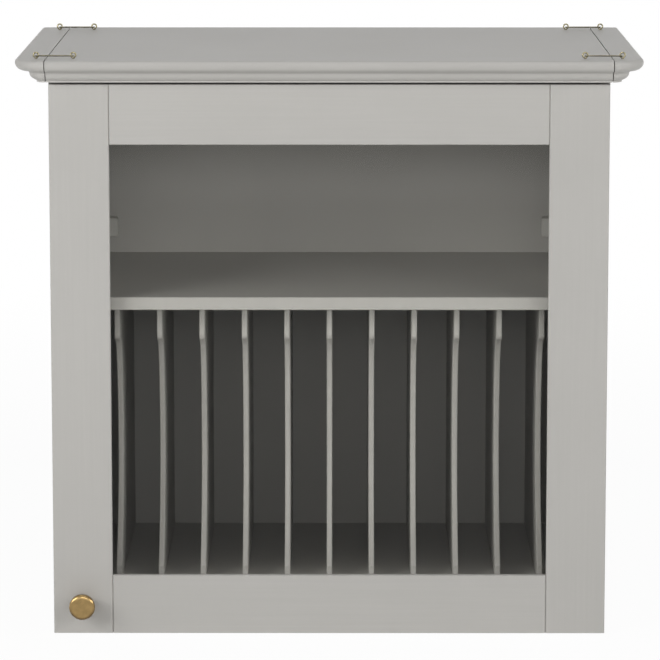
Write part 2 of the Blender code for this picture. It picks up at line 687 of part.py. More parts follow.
def hinge_cuts(h):
    """Return the cutters of a hinge's leaf recess and of its knuckle's notch in the stile."""
    half = HINGE_H / 2.0 + FIT
    notch_x = HINGE_X - HINGE_BARREL_R - 2.0 * FIT
    leaf_x = HINGE_X - HINGE_BARREL_R - HINGE_DOOR_LEAF_L - FIT
    y1 = DOOR_BACK + CUT_PAST
    recess = cutter([((leaf_x, DOOR_BACK - HINGE_LEAF_T - FIT, h - half), (notch_x + FIT, y1, h + half))])
    notch_y = HINGE_Y - HINGE_BARREL_R - HINGE_NOTCH_CLEAR
    notch = cutter([((notch_x, notch_y, h - half), (DOOR_HALF + CUT_PAST, y1, h + half))])
    return [recess, notch]


def hinge_bore(low_h, high_h):
    """Return the cutter of the pin's running hole."""
    place = along_z(HINGE_X, HINGE_Y)
    return bar("cutter", HINGE_PIN_R + HINGE_RUN, place, low_h - CUT_PAST, high_h + CUT_PAST, 20)


def cabinet_leaf(name, h):
    """Return the leaf on the side panel: it bends round the panel's front edge to the knuckle."""
    half = HINGE_H / 2.0
    middle = HINGE_MIDDLE_H / 2.0 + FIT
    back = CARCASS_FRONT - HINGE_STRAP_CLEAR
    front = back - HINGE_STRAP_T
    face = INNER_X - FIT
    web_x = HINGE_X + HINGE_WEB_W / 2.0
    section = [(web_x, front), (web_x, back), (face, back), (face, back + HINGE_CABINET_LEAF_L)]
    section += [(face - HINGE_STRAP_T, back + HINGE_CABINET_LEAF_L), (face - HINGE_STRAP_T, front)]
    leaf = prism(name, [(x, y, h - half) for x, y in section], (0.0, 0.0, HINGE_H))
    tools = []
    for low_h, high_h in ((h - half, h - middle), (h + middle, h + half)):
        low = (web_x - HINGE_WEB_W, HINGE_Y, low_h)
        tools.append(cutter([(low, (web_x, (front + back) / 2.0, high_h))]))
        tools.append(bar("tool", HINGE_BARREL_R, along_z(HINGE_X, HINGE_Y), low_h, high_h, 20))
    leaf = combine(leaf, tools, "UNION")
    return combine(leaf, [hinge_bore(h - half, h + half)], "DIFFERENCE")


def door_leaf(name, h):
    """Return the leaf let into the back of the stile, with the middle knuckle."""
    half = HINGE_H / 2.0
    middle = HINGE_MIDDLE_H / 2.0
    front = DOOR_BACK - HINGE_LEAF_T
    near = HINGE_X - HINGE_BARREL_R - 2.0 * FIT
    far = HINGE_X - HINGE_BARREL_R - HINGE_DOOR_LEAF_L
    leaf = box(name, (far, front, h - half), (near, DOOR_BACK, h + half))
    low = ((far + near) / 2.0, front + FIT, h - middle)
    web = cutter([(low, (HINGE_X, DOOR_BACK - FIT, h + middle))])
    barrel = bar("tool", HINGE_BARREL_R, along_z(HINGE_X, HINGE_Y), h - middle, h + middle, 20)
    leaf = combine(leaf, [web, barrel], "UNION")
    return combine(leaf, [hinge_bore(h - middle, h + middle)], "DIFFERENCE")


def build_hinge(word, h, cabinet, door):
    """One hinge: the leaf and the pin that stay, and the leaf that swings with the door."""
    finish(cabinet_leaf("hinge_%s_cabinet_leaf" % word, h), cabinet, BRASS)
    finish(door_leaf("hinge_%s_door_leaf" % word, h), door, BRASS)
    place = along_z(HINGE_X, HINGE_Y)
    half = HINGE_H / 2.0
    finish(bar("hinge_%s_pin" % word, HINGE_PIN_R, place, h - half, h + half, 20), cabinet, BRASS)


def build_catch(cabinet, door):
    """Magnetic catch on the left side panel, and its strike plate on the door."""
    low_h = SHELF_TOP_H + CATCH_LIFT
    x0 = -INNER_X + FIT
    x1 = x0 + CATCH_W
    strike_y = DOOR_BACK + FIT
    front = strike_y + STRIKE_T + FIT
    body = box("magnetic_catch", (x0, front, low_h), (x1, front + CATCH_D, low_h + CATCH_H), CATCH_EASE)
    finish(body, cabinet, PLASTIC)
    margin = STRIKE_MARGIN
    high = (x1 - margin, strike_y + STRIKE_T, low_h + CATCH_H - margin)
    finish(box("catch_strike_plate", (x0 + margin, strike_y, low_h + margin), high), door, STEEL)


def build_bumpers(door):
    """Soft discs on the back of the left stile, which meet the side panel's front edge."""
    x = -(INNER_X + HALF_W) / 2.0
    start = -CARCASS_FRONT + FIT
    end = -DOOR_BACK - FIT
    profile = [(0.0, start), (BUMPER_FACE_R, start), (BUMPER_R, (start + end) / 2.0)]
    profile += [(BUMPER_R, end), (0.0, end)]
    for word, h in (("bottom", BUMPER_FROM_END), ("top", DOOR_H - BUMPER_FROM_END)):
        finish(turned("door_bumper_" + word, profile, along_y(x, h), 16), door, RUBBER)


def build_door(door):
    """Frame, glazing and knob."""
    for sign in (-1, 1):
        build_stile(sign, door)
    low_tenon, high_tenon = tenon_heights()
    top_low = DOOR_H - FRAME_W
    build_rail("door_rail_bottom", 0.0, low_tenon, (FRAME_W - REBATE_W, FRAME_W + CUT_PAST), door)
    build_rail("door_rail_top", top_low, high_tenon, (top_low - CUT_PAST, top_low + REBATE_W), door)
    build_glazing(door)
    build_knob(door)


def main():
    """Build the cabinet, then the door on its hinge axis."""
    clear_scene()
    cabinet = add_empty("cabinet", 0.0, 0.0, ROW_Z)
    door = add_empty("door_swing", HINGE_X, HINGE_Y, 0.0)
    build_carcass(cabinet)
    build_rack(cabinet)
    build_cornice(cabinet)
    build_connectors(cabinet)
    build_door(door)
    for word, h in zip(("lower", "upper"), hinge_heights()):
        build_hinge(word, h, cabinet, door)
    build_catch(cabinet, door)
    build_bumpers(door)


main()
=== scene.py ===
"""Dresses a glazed kitchen wall cabinet: paint, brass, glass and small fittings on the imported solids."""
import logging
import math
from collections.abc import Iterable, Sequence
from dataclasses import dataclass
from enum import Enum

import bpy
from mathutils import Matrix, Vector


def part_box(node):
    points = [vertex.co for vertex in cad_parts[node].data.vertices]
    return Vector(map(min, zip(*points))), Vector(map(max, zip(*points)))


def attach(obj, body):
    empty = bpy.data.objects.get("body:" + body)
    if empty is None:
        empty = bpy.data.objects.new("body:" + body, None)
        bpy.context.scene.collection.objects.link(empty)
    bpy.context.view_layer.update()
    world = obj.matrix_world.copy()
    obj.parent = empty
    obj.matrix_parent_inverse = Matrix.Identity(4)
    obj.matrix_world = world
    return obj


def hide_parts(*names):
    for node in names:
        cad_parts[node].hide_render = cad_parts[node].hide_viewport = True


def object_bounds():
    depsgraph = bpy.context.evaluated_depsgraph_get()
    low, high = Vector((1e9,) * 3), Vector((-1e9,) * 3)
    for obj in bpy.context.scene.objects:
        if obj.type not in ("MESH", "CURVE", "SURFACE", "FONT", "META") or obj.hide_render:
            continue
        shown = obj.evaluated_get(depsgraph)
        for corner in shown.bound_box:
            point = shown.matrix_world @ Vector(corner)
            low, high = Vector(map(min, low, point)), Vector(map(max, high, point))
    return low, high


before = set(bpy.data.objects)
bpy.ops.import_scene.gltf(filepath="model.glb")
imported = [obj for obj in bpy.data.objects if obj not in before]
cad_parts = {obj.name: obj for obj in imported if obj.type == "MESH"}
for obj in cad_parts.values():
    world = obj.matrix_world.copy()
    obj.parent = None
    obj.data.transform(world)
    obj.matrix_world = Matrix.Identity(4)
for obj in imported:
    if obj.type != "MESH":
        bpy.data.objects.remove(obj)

MM = 0.001
CAD_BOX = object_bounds()
LOG = logging.getLogger("cabinet")

MERGE_GAP = 1e-6
FLAT_DEG = 0.5
SHARP_DEG = 40.0
CRISP_DEG = 30.0
WIRE_DEG = 40.0
WHITE = "ffffff"

Point = tuple[float, float, float]
Station = tuple[float, float]
Span = tuple[float, float]


class Body(Enum):
    """The two bodies that pieces ride on."""

    CABINET = "cabinet"
    DOOR = "door"


class Slot(Enum):
    """Material slots of the record."""

    PAINT = "grey_paint"
    BRASS = "brass"
    STEEL = "zinc_steel"
    BUMPER = "soft_bumper"
    PLASTIC = "catch_plastic"


class Axis(Enum):
    """The way that a turned piece points, or that a board's grain runs."""

    X = (1.0, 0.0, 0.0)
    Y = (0.0, 1.0, 0.0)
    Z = (0.0, 0.0, 1.0)
    MINUS_X = (-1.0, 0.0, 0.0)
    MINUS_Y = (0.0, -1.0, 0.0)

    @property
    def vector(self) -> Vector:
        """The axis as a unit vector."""
        return Vector(self.value)

    @property
    def turn(self) -> tuple[float, float, float]:
        """The Euler turn that takes the Z axis to this one."""
        return tuple(self.vector.to_track_quat("Z", "Y").to_euler())


def linear(hex_code: str) -> tuple[float, float, float, float]:
    """Turn an sRGB hex colour into linear RGBA.

    Args:
        hex_code: Six hex digits.

    Returns:
        Red, green, blue and an alpha of one.
    """
    shares = [int(hex_code[i:i + 2], 16) / 255.0 for i in (0, 2, 4)]
    lin = [c / 12.92 if c <= 0.04045 else ((c + 0.055) / 1.055) ** 2.4 for c in shares]
    return (lin[0], lin[1], lin[2], 1.0)


def per_size(millimetres: float) -> float:
    """The texture scale that gives a pattern of this size."""
    return 1.0 / (millimetres * MM)


def add(tree: bpy.types.NodeTree, kind: str, settings: dict | None = None, links: dict | None = None,
        ) -> bpy.types.Node:
    """Add a node with its settings and links.

    Args:
        tree: The node tree.
        kind: The node's Blender type.
        settings: Properties by name, or socket values by socket name or number.
        links: Output sockets by the name or number of the input that they feed.

    Returns:
        The new node.
    """
    node = tree.nodes.new(kind)
    for key, value in (settings or {}).items():
        if isinstance(key, str) and hasattr(node, key):
            setattr(node, key, value)
        else:
            node.inputs[key].default_value = value
    for key, output in (links or {}).items():
        tree.links.new(output, node.inputs[key])
    return node


def backdrop_rays(tree: bpy.types.NodeTree) -> bpy.types.NodeSocket:
    """Tell the rays that show the backdrop from those that light the cabinet.

    Args:
        tree: The node tree of the world or of the floor.

    Returns:
        One for rays from the camera, off gloss and through glass, and nought for the rest.
    """
    path = add(tree, "ShaderNodeLightPath")
    seen = add(tree, "ShaderNodeMath", {"operation": "MAXIMUM"},
               {0: path.outputs["Is Camera Ray"], 1: path.outputs["Is Glossy Ray"]})
    shown = add(tree, "ShaderNodeMath", {"operation": "MAXIMUM"},
                {0: seen.outputs[0], 1: path.outputs["Is Transmission Ray"]})
    return shown.outputs[0]


def new_material(name: str) -> tuple[bpy.types.Material, bpy.types.NodeTree]:
    """Make an empty node material and return it with its tree."""
    material = bpy.data.materials.new(name)
    material.use_nodes = True
    material.node_tree.nodes.clear()
    return material, material.node_tree


@dataclass(frozen=True)
class Paint:
    """Satin water-based paint in a warm grey, sprayed in three coats.

    Real material: acrylic paint. The eye sees an even tone with a soft sheen, a slight cloudiness where the film is
    thicker, and a fine orange peel.
    """

    name: str
    colour: str = "b7b5b1"
    low_colour: str = "b4b2ae"
    index: float = 1.45
    shine: float = 0.4
    film_mm: float = 0.2

    def coat(self, tree: bpy.types.NodeTree, share: bpy.types.NodeSocket, rough: bpy.types.NodeSocket,
             relief: bpy.types.NodeSocket, bump: float) -> None:
        """Add the film's shader and the material's output.

        Args:
            tree: The material's node tree.
            share: How thick the film is, from 0 to 1.
            rough: How rough it is.
            relief: The height of its surface.
            bump: How strongly that height shows.
        """
        tone = add(tree, "ShaderNodeMix", {"data_type": "RGBA", 6: linear(self.low_colour), 7: linear(self.colour)},
                   {0: share})
        bumped = add(tree, "ShaderNodeBump", {"Strength": bump, "Distance": self.film_mm * MM}, {"Height": relief})
        paint = add(tree, "ShaderNodeBsdfPrincipled", {"IOR": self.index, "Specular IOR Level": self.shine},
                    {"Base Color": tone.outputs[2], "Roughness": rough, "Normal": bumped.outputs[0]})
        add(tree, "ShaderNodeOutputMaterial", None, {"Surface": paint.outputs[0]})


@dataclass(frozen=True)
class PaintedTimber(Paint):
    """The paint on solid timber.

    Real material: the film on a close-grained hardwood. The eye sees only a trace of the grain that runs along
    each member under it.
    """

    grain: Axis = Axis.Z
    roughness: Span = (0.45, 0.55)
    tone_span: Span = (0.12, 0.4)
    grain_across_mm: float = 2.6
    grain_along_mm: float = 140.0
    peel_mm: float = 1.6
    cloud_mm: float = 90.0
    bump: float = 0.035

    def make(self) -> bpy.types.Material:
        """Build the node material."""
        material, tree = new_material(self.name)
        place = add(tree, "ShaderNodeTexCoord")
        fine, long = per_size(self.grain_across_mm), per_size(self.grain_along_mm)
        scale = [long if part else fine for part in self.grain.value]
        stretched = add(tree, "ShaderNodeMapping", {"Scale": scale}, {"Vector": place.outputs["Object"]})
        grain = add(tree, "ShaderNodeTexNoise", {"Scale": 1.0, "Detail": 2.0}, {"Vector": stretched.outputs[0]})
        cloud = add(tree, "ShaderNodeTexNoise", {"Scale": per_size(self.cloud_mm), "Detail": 2.0},
                    {"Vector": place.outputs["Object"]})
        peel = add(tree, "ShaderNodeTexNoise", {"Scale": per_size(self.peel_mm), "Detail": 1.0},
                   {"Vector": place.outputs["Object"]})
        both = add(tree, "ShaderNodeMath", {"operation": "MULTIPLY"}, {0: grain.outputs[0], 1: cloud.outputs[0]})
        spread = add(tree, "ShaderNodeMapRange", {"From Min": self.tone_span[0], "From Max": self.tone_span[1]},
                     {"Value": both.outputs[0]})
        sheen = add(tree, "ShaderNodeMapRange", {"To Min": self.roughness[0], "To Max": self.roughness[1]},
                    {"Value": cloud.outputs[0]})
        film = add(tree, "ShaderNodeMath", {"operation": "ADD"}, {0: grain.outputs[0], 1: peel.outputs[0]})
        self.coat(tree, spread.outputs[0], sheen.outputs[0], film.outputs[0], self.bump)
        return material


@dataclass(frozen=True)
class PaintedBoard(Paint):
    """The paint on fibreboard panels.

    Real material: the film on sealed medium-density fibreboard. It has no grain, so the eye sees the peel and the
    cloudiness alone.
    """

    roughness: Span = (0.48, 0.58)
    tone_span: Span = (0.3, 0.7)
    peel_mm: float = 1.8
    cloud_mm: float = 120.0
    bump: float = 0.05

    def make(self) -> bpy.types.Material:
        """Build the node material."""
        material, tree = new_material(self.name)
        place = add(tree, "ShaderNodeTexCoord")
        peel = add(tree, "ShaderNodeTexNoise", {"Scale": per_size(self.peel_mm), "Detail": 1.5},
                   {"Vector": place.outputs["Object"]})
        cloud = add(tree, "ShaderNodeTexNoise", {"Scale": per_size(self.cloud_mm), "Detail": 3.0},
                    {"Vector": place.outputs["Object"]})
        spread = add(tree, "ShaderNodeMapRange", {"From Min": self.tone_span[0], "From Max": self.tone_span[1]},
                     {"Value": cloud.outputs[0]})
        sheen = add(tree, "ShaderNodeMapRange", {"To Min": self.roughness[0], "To Max": self.roughness[1]},
                    {"Value": cloud.outputs[0]})
        self.coat(tree, spread.outputs[0], sheen.outputs[0], peel.outputs[0], self.bump)
        return material


@dataclass(frozen=True)
class BareMetal:
    """A turned, pressed or plated metal with fine tool marks and a little tarnish.

    Real material: satin brass left unlacquered, or bright zinc on steel. The eye sees a metal colour that
    deepens in faint cloudy patches, with soft highlights.
    """

    name: str
    colour: str
    dull_colour: str
    roughness: Span
    patch_mm: float
    mark_mm: float
    mark_bump: float = 0.05
    mark_depth_mm: float = 0.1
    tone_span: Span = (0.35, 0.68)

    def make(self) -> bpy.types.Material:
        """Build the node material."""
        material, tree = new_material(self.name)
        place = add(tree, "ShaderNodeTexCoord")
        patch = add(tree, "ShaderNodeTexNoise", {"Scale": per_size(self.patch_mm), "Detail": 3.0},
                    {"Vector": place.outputs["Object"]})
        marks = add(tree, "ShaderNodeTexNoise", {"Scale": per_size(self.mark_mm), "Detail": 2.0},
                    {"Vector": place.outputs["Object"]})
        spread = add(tree, "ShaderNodeMapRange", {"From Min": self.tone_span[0], "From Max": self.tone_span[1]},
                     {"Value": patch.outputs[0]})
        tone = add(tree, "ShaderNodeMix", {"data_type": "RGBA", 6: linear(self.colour), 7: linear(self.dull_colour)},
                   {0: spread.outputs[0]})
        sheen = add(tree, "ShaderNodeMapRange", {"To Min": self.roughness[0], "To Max": self.roughness[1]},
                    {"Value": marks.outputs[0]})
        bump = add(tree, "ShaderNodeBump", {"Strength": self.mark_bump, "Distance": self.mark_depth_mm * MM},
                   {"Height": marks.outputs[0]})
        metal = add(tree, "ShaderNodeBsdfPrincipled", {"Metallic": 1.0},
                    {"Base Color": tone.outputs[2], "Roughness": sheen.outputs[0], "Normal": bump.outputs[0]})
        add(tree, "ShaderNodeOutputMaterial", None, {"Surface": metal.outputs[0]})
        return material


@dataclass(frozen=True)
class BrassWithPaintedShade:
    """Brass of the knob, with painted shade on its lower edge.

    Real material: turned satin brass, its face in faint patches of tone. The outer edge is painted darker from just
    above the middle downwards, a painted dark reflection that stands in for the dark surroundings that the lower edge
    mirrors.
    The eye sees a warm satin face, sharp glints on the upper edge and a dark lower edge.
    """

    name: str
    centre: Point
    face_colour: str = "a0865b"
    face_dull_colour: str = "8f7850"
    # Painted shade: this colour darkens the outer edge below the middle, as a painted dark reflection.
    painted_shade_colour: str = "64523a"
    roughness: Span = (0.08, 0.16)
    shade_rim_from_mm: float = 10.4
    shade_rim_to_mm: float = 12.6
    unshaded_above_mm: float = 1.0
    full_shade_below_mm: float = -8.0
    patch_mm: float = 7.0
    tone_span: Span = (0.35, 0.68)

    def make(self) -> bpy.types.Material:
        """Build the node material."""
        material, tree = new_material(self.name)
        place = add(tree, "ShaderNodeTexCoord")
        patch = add(tree, "ShaderNodeTexNoise", {"Scale": per_size(self.patch_mm), "Detail": 3.0},
                    {"Vector": place.outputs["Object"]})
        spread = add(tree, "ShaderNodeMapRange", {"From Min": self.tone_span[0], "From Max": self.tone_span[1]},
                     {"Value": patch.outputs[0]})
        face = add(tree, "ShaderNodeMix",
                   {"data_type": "RGBA", 6: linear(self.face_colour), 7: linear(self.face_dull_colour)},
                   {0: spread.outputs[0]})
        # Painted shade: the mask below is strongest on the outer edge and below the knob's middle, and there it mixes
        # in the dark colour as a painted dark reflection.
        shift = [-self.centre[0], 0.0, -self.centre[2]]
        around = add(tree, "ShaderNodeMapping", {"Location": shift, "Scale": [1.0, 0.0, 1.0]},
                     {"Vector": place.outputs["Object"]})
        reach = add(tree, "ShaderNodeVectorMath", {"operation": "LENGTH"}, {0: around.outputs[0]})
        rim = add(tree, "ShaderNodeMapRange", {"From Min": self.shade_rim_from_mm * MM, "From Max": self.shade_rim_to_mm * MM},
                  {"Value": reach.outputs["Value"]})
        parts = add(tree, "ShaderNodeSeparateXYZ", None, {0: around.outputs[0]})
        low = add(tree, "ShaderNodeMapRange",
                  {"From Min": self.unshaded_above_mm * MM, "From Max": self.full_shade_below_mm * MM},
                  {"Value": parts.outputs["Z"]})
        painted_shade_share = add(tree, "ShaderNodeMath", {"operation": "MULTIPLY"}, {0: rim.outputs[0], 1: low.outputs[0]})
        tone = add(tree, "ShaderNodeMix", {"data_type": "RGBA", 7: linear(self.painted_shade_colour)},
                   {0: painted_shade_share.outputs[0], 6: face.outputs[2]})
        sheen = add(tree, "ShaderNodeMapRange", {"To Min": self.roughness[0], "To Max": self.roughness[1]},
                    {"Value": patch.outputs[0]})
        metal = add(tree, "ShaderNodeBsdfPrincipled", {"Metallic": 1.0},
                    {"Base Color": tone.outputs[2], "Roughness": sheen.outputs[0]})
        add(tree, "ShaderNodeOutputMaterial", None, {"Surface": metal.outputs[0]})
        return material


@dataclass(frozen=True)
class GlazingGlass:
    """Float glass of 4 mm.

    Real material: clear float glass. Seen square on it all but vanishes, and it mirrors more at a glancing
    angle. What each face mirrors square on is matched down from a real 0.04, because the photograph shows only a
    faint veil over the dark inside.
    """

    name: str
    tint: str = "fefefd"
    mirrored_square_on: float = 0.0075
    glance_power: float = 5.0
    roughness: float = 0.02
    ripple_mm: float = 160.0
    ripple_bump: float = 0.02
    ripple_depth_mm: float = 1.0

    def make(self) -> bpy.types.Material:
        """Build the node material."""
        material, tree = new_material(self.name)
        place = add(tree, "ShaderNodeTexCoord")
        ripple = add(tree, "ShaderNodeTexNoise", {"Scale": per_size(self.ripple_mm), "Detail": 0.0},
                     {"Vector": place.outputs["Object"]})
        bump = add(tree, "ShaderNodeBump", {"Strength": self.ripple_bump, "Distance": self.ripple_depth_mm * MM},
                   {"Height": ripple.outputs[0]})
        clear = add(tree, "ShaderNodeBsdfTransparent", {"Color": linear(self.tint)})
        mirror = add(tree, "ShaderNodeBsdfGlossy", {"Roughness": self.roughness}, {"Normal": bump.outputs[0]})
        slant = add(tree, "ShaderNodeLayerWeight", {"Blend": 0.5})
        steep = add(tree, "ShaderNodeMath", {"operation": "POWER", 1: self.glance_power},
                    {0: slant.outputs["Facing"]})
        share = add(tree, "ShaderNodeMapRange", {"To Min": self.mirrored_square_on}, {"Value": steep.outputs[0]})
        glass = add(tree, "ShaderNodeMixShader", None,
                    {0: share.outputs[0], 1: clear.outputs[0], 2: mirror.outputs[0]})
        add(tree, "ShaderNodeOutputMaterial", None, {"Surface": glass.outputs[0]})
        return material


@dataclass(frozen=True)
class MouldedPlastic:
    """An injection-moulded part: spark-eroded texture on hard plastic, or soft clear polyurethane.

    Real material: acetal for the catch, polyurethane for the bumpers. The eye sees a fine even stipple, and in
    the soft one some light that passes through.
    """

    name: str
    colour: str
    shade_colour: str
    roughness: float
    stipple_mm: float
    through: float = 0.0
    index: float = 1.49
    stipple_bump: float = 0.15
    stipple_depth_mm: float = 0.1

    def make(self) -> bpy.types.Material:
        """Build the node material."""
        material, tree = new_material(self.name)
        place = add(tree, "ShaderNodeTexCoord")
        stipple = add(tree, "ShaderNodeTexNoise", {"Scale": per_size(self.stipple_mm), "Detail": 1.0},
                      {"Vector": place.outputs["Object"]})
        tone = add(tree, "ShaderNodeMix", {"data_type": "RGBA", 6: linear(self.shade_colour), 7: linear(self.colour)},
                   {0: stipple.outputs[0]})
        bump = add(tree, "ShaderNodeBump", {"Strength": self.stipple_bump, "Distance": self.stipple_depth_mm * MM},
                   {"Height": stipple.outputs[0]})
        plastic = add(tree, "ShaderNodeBsdfPrincipled",
                      {"Roughness": self.roughness, "IOR": self.index, "Transmission Weight": self.through},
                      {"Base Color": tone.outputs[2], "Normal": bump.outputs[0]})
        add(tree, "ShaderNodeOutputMaterial", None, {"Surface": plastic.outputs[0]})
        return material


class Finishes:
    """Every finish on the cabinet, made once."""

    def __init__(self) -> None:
        """Build all the materials."""
        low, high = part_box("knob")
        self.upright = PaintedTimber("painted_timber_upright", grain=Axis.Z).make()
        self.across = PaintedTimber("painted_timber_across", grain=Axis.X).make()
        self.deep = PaintedTimber("painted_timber_deep", grain=Axis.Y).make()
        self.pale = PaintedTimber("pale_painted_block", "c9c8c4", "c5c4bf", grain=Axis.X).make()
        self.board = PaintedBoard("painted_fibreboard").make()
        self.brass = BareMetal("antique_brass", "9b8258", "86704a", (0.19, 0.33), 9.0, 0.6).make()
        # The knob's brass carries painted shade, a painted dark reflection, on its lower edge.
        self.knob = BrassWithPaintedShade("brass_with_painted_dark_rim", tuple((low + high) / 2.0)).make()
        self.eye = BareMetal("brass_eye", "b0a888", "5f5a47", (0.08, 0.22), 1.6, 0.4).make()
        self.wire = BareMetal("dark_brass_wire", "74705f", "5d594d", (0.15, 0.29), 3.0, 0.4).make()
        self.zinc = BareMetal("zinc_on_steel", "b9bcbe", "9a9da0", (0.27, 0.41), 5.0, 0.5).make()
        self.glass = GlazingGlass("float_glass").make()
        self.bumper = MouldedPlastic("polyurethane_bumper", "d9d9d4", "cfcfc9", 0.35, 1.2, 0.35).make()
        self.plastic = MouldedPlastic("acetal_moulding", "cdcac3", "c4c1ba", 0.45, 0.8).make()


def deselect() -> None:
    """Leave edit mode and select nothing."""
    if bpy.context.object and bpy.context.object.mode != "OBJECT":
        bpy.ops.object.mode_set(mode="OBJECT")
    bpy.ops.object.select_all(action="DESELECT")


def choose(*objects: bpy.types.Object) -> None:
    """Select these objects alone and make the first one active."""
    deselect()
    for obj in objects:
        obj.select_set(True)
    bpy.context.view_layer.objects.active = objects[0]


def settle(obj: bpy.types.Object, name: str, smooth_deg: float = 35.0) -> bpy.types.Object:
    """Close a mesh, point it outwards, put its place in the mesh and smooth it.

    Args:
        obj: The object, in object or edit mode.
        name: The piece's name.
        smooth_deg: Edges flatter than this are shaded smooth.

    Returns:
        The same object.
    """
    choose(obj)
    bpy.ops.object.transform_apply(location=True, rotation=True, scale=True)
    bpy.ops.object.mode_set(mode="EDIT")
    bpy.ops.mesh.select_all(action="SELECT")
    bpy.ops.mesh.remove_doubles(threshold=MERGE_GAP)
    bpy.ops.mesh.normals_make_consistent(inside=False)
    bpy.ops.object.mode_set(mode="OBJECT")
    bpy.ops.object.shade_smooth_by_angle(angle=math.radians(smooth_deg))
    obj.name = name
    obj.data.name = name
    return obj


def turned(name: str, stations: Sequence[Station], foot: Point, axis: Axis, sides: int = 48) -> bpy.types.Object:
    """Turn a solid: a disc is drawn out along its axis, station by station.

    Args:
        name: The piece's name.
        stations: Radius and height of each ring, from the foot up, in metres.
        foot: Where height zero is.
        axis: The way the heights run.
        sides: Sides of the circle.

    Returns:
        The solid.
    """
    deselect()
    along = axis.vector
    radius, height = stations[0]
    bpy.ops.mesh.primitive_circle_add(vertices=sides, radius=radius, fill_type="NGON",
                                      location=Vector(foot) + along * height, rotation=axis.turn)
    obj = bpy.context.object
    bpy.ops.object.mode_set(mode="EDIT")
    for next_radius, next_height in stations[1:]:
        step = along * (next_height - height)
        bpy.ops.mesh.extrude_region_move(TRANSFORM_OT_translate={"value": step})
        share = next_radius / radius
        bpy.ops.transform.resize(value=(share, share, share), center_override=Vector(foot) + along * next_height)
        radius, height = next_radius, next_height
    return settle(obj, name)


def block(name: str, low: Point, high: Point) -> bpy.types.Object:
    """Add a box from corner to corner, to be shaped further."""
    deselect()
    middle = (Vector(low) + Vector(high)) / 2.0
    bpy.ops.mesh.primitive_cube_add(size=1.0, location=middle)
    obj = bpy.context.object
    obj.scale = Vector(high) - Vector(low)
    bpy.ops.object.transform_apply(location=True, rotation=True, scale=True)
    obj.name = name
    return obj


def combine(obj: bpy.types.Object, tool: bpy.types.Object, operation: str) -> bpy.types.Object:
    """Join to, or cut from, an object by a Boolean that is applied; the tool is used up.

    Args:
        obj: The object that stays.
        tool: The object that adds or cuts.
        operation: UNION or DIFFERENCE.

    Returns:
        The object that stays.
    """
    choose(obj)
    change = obj.modifiers.new("join", "BOOLEAN")
    change.operation = operation
    change.solver = "EXACT"
    change.object = tool
    bpy.ops.object.modifier_apply(modifier=change.name)
    bpy.data.objects.remove(tool)
    return obj


def soften(obj: bpy.types.Object, width_mm: float, segments: int = 2) -> bpy.types.Object:
    """Round an object's sharp edges by an applied bevel."""
    choose(obj)
    change = obj.modifiers.new("ease", "BEVEL")
    change.width = width_mm * MM
    change.segments = segments
    change.limit_method = "ANGLE"
    change.angle_limit = math.radians(SHARP_DEG)
    bpy.ops.object.modifier_apply(modifier=change.name)
    return obj


def copy_of(obj: bpy.types.Object, name: str, shift: Point) -> bpy.types.Object:
    """Copy a modelled piece with a mesh of its own.

    Args:
        obj: The piece to repeat.
        name: The copy's name.
        shift: How far the copy stands from it.

    Returns:
        The copy.
    """
    choose(obj)
    bpy.ops.object.duplicate(linked=False)
    twin = bpy.context.object
    bpy.ops.transform.translate(value=shift)
    bpy.ops.object.transform_apply(location=True, rotation=True, scale=True)
    twin.name = name
    twin.data.name = name
    return twin


def refined(node: str, ease_mm: float = 0.0, smooth_deg: float = 32.0) -> bpy.types.Object:
    """Copy a solid's mesh, merge it, smooth its curved faces and keep its wide faces flat.

    Args:
        node: The solid's name.
        ease_mm: Width of a bevel on its sharp edges, or none.
        smooth_deg: Edges flatter than this are shaded smooth.

    Returns:
        The finished copy.
    """
    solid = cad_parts[node]
    twin = bpy.data.objects.new(node + "_finish", solid.data.copy())
    bpy.context.scene.collection.objects.link(twin)
    choose(twin)
    bpy.ops.object.mode_set(mode="EDIT")
    bpy.ops.mesh.select_all(action="SELECT")
    bpy.ops.mesh.remove_doubles(threshold=MERGE_GAP)
    bpy.ops.mesh.dissolve_limited(angle_limit=math.radians(FLAT_DEG))
    bpy.ops.object.mode_set(mode="OBJECT")
    if twin.data.has_custom_normals:
        bpy.ops.mesh.customdata_custom_splitnormals_clear()
    if ease_mm:
        soften(twin, ease_mm)
    choose(twin)
    bpy.ops.object.shade_smooth_by_angle(angle=math.radians(smooth_deg))
    change = twin.modifiers.new("flatten", "WEIGHTED_NORMAL")
    change.keep_sharp = True
    bpy.ops.object.modifier_apply(modifier=change.name)
    return twin


def paint_piece(obj: bpy.types.Object, material: bpy.types.Material) -> None:
    """Give an object one material."""
    obj.data.materials.clear()
    obj.data.materials.append(material)


def fit_piece(obj: bpy.types.Object, body: Body, material: bpy.types.Material,
              stands_for: Iterable[str] = ()) -> bpy.types.Object:
    """Dress a finished piece, set it on its body and hide the solids that it stands for.

    Args:
        obj: The piece.
        body: The body that it moves with.
        material: Its finish.
        stands_for: Names of the solids that it hides.

    Returns:
        The piece.
    """
    paint_piece(obj, material)
    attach(obj, body.value)
    names = list(stands_for)
    if names:
        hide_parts(*names)
    LOG.info("%s rides on %s", obj.name, body.value)
    return obj


def dress(nodes: Iterable[str], material: bpy.types.Material) -> None:
    """Give solids that stay in view their finish."""
    for node in nodes:
        paint_piece(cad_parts[node], material)
        LOG.info("%s dressed with %s", node, material.name)


